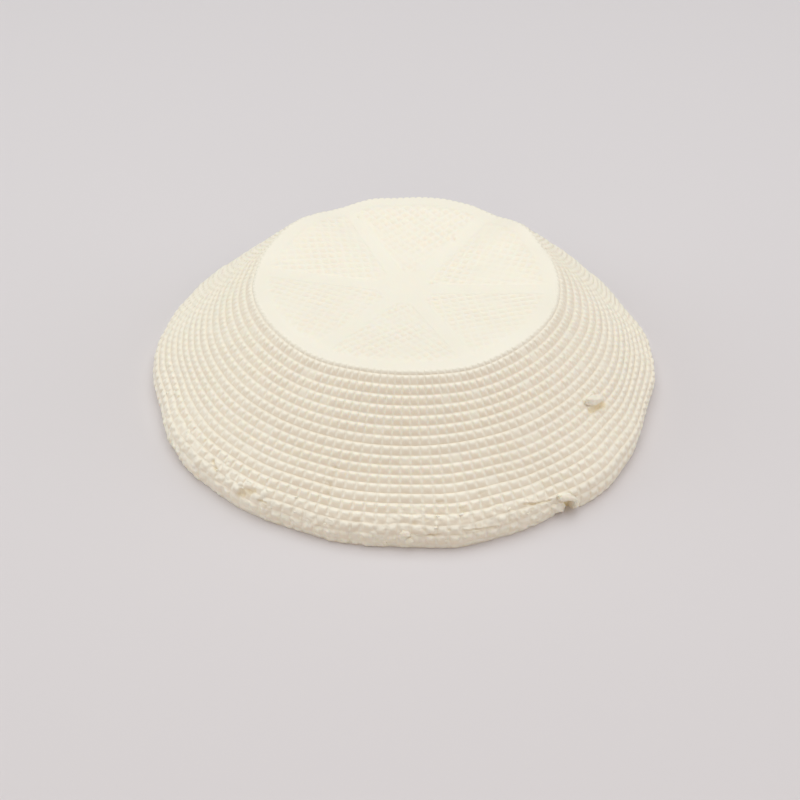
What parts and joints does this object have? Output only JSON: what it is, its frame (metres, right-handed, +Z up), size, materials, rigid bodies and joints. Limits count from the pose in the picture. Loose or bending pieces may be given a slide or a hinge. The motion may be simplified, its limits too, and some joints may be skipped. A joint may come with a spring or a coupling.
{
  "type": "fresh ricotta cheese",
  "caption": "Whole fresh ricotta turned out of a shallow basket: round, wide foot, stepped sloping flank, dished top face with faint mesh petals and a rough curd edge.",
  "frame": {"origin": "middle of the flat foot that the cheese rests on", "axes": "+Z up through the top face; -Y is the front, which has the broken curd band and the tear"},
  "size_m": [0.2, 0.2021, 0.0475],
  "materials": {
    "curd": "moist matte cream-white curd"
  },
  "bodies": {
    "root": {"ricotta": "curd"}
  },
  "joints": []
}
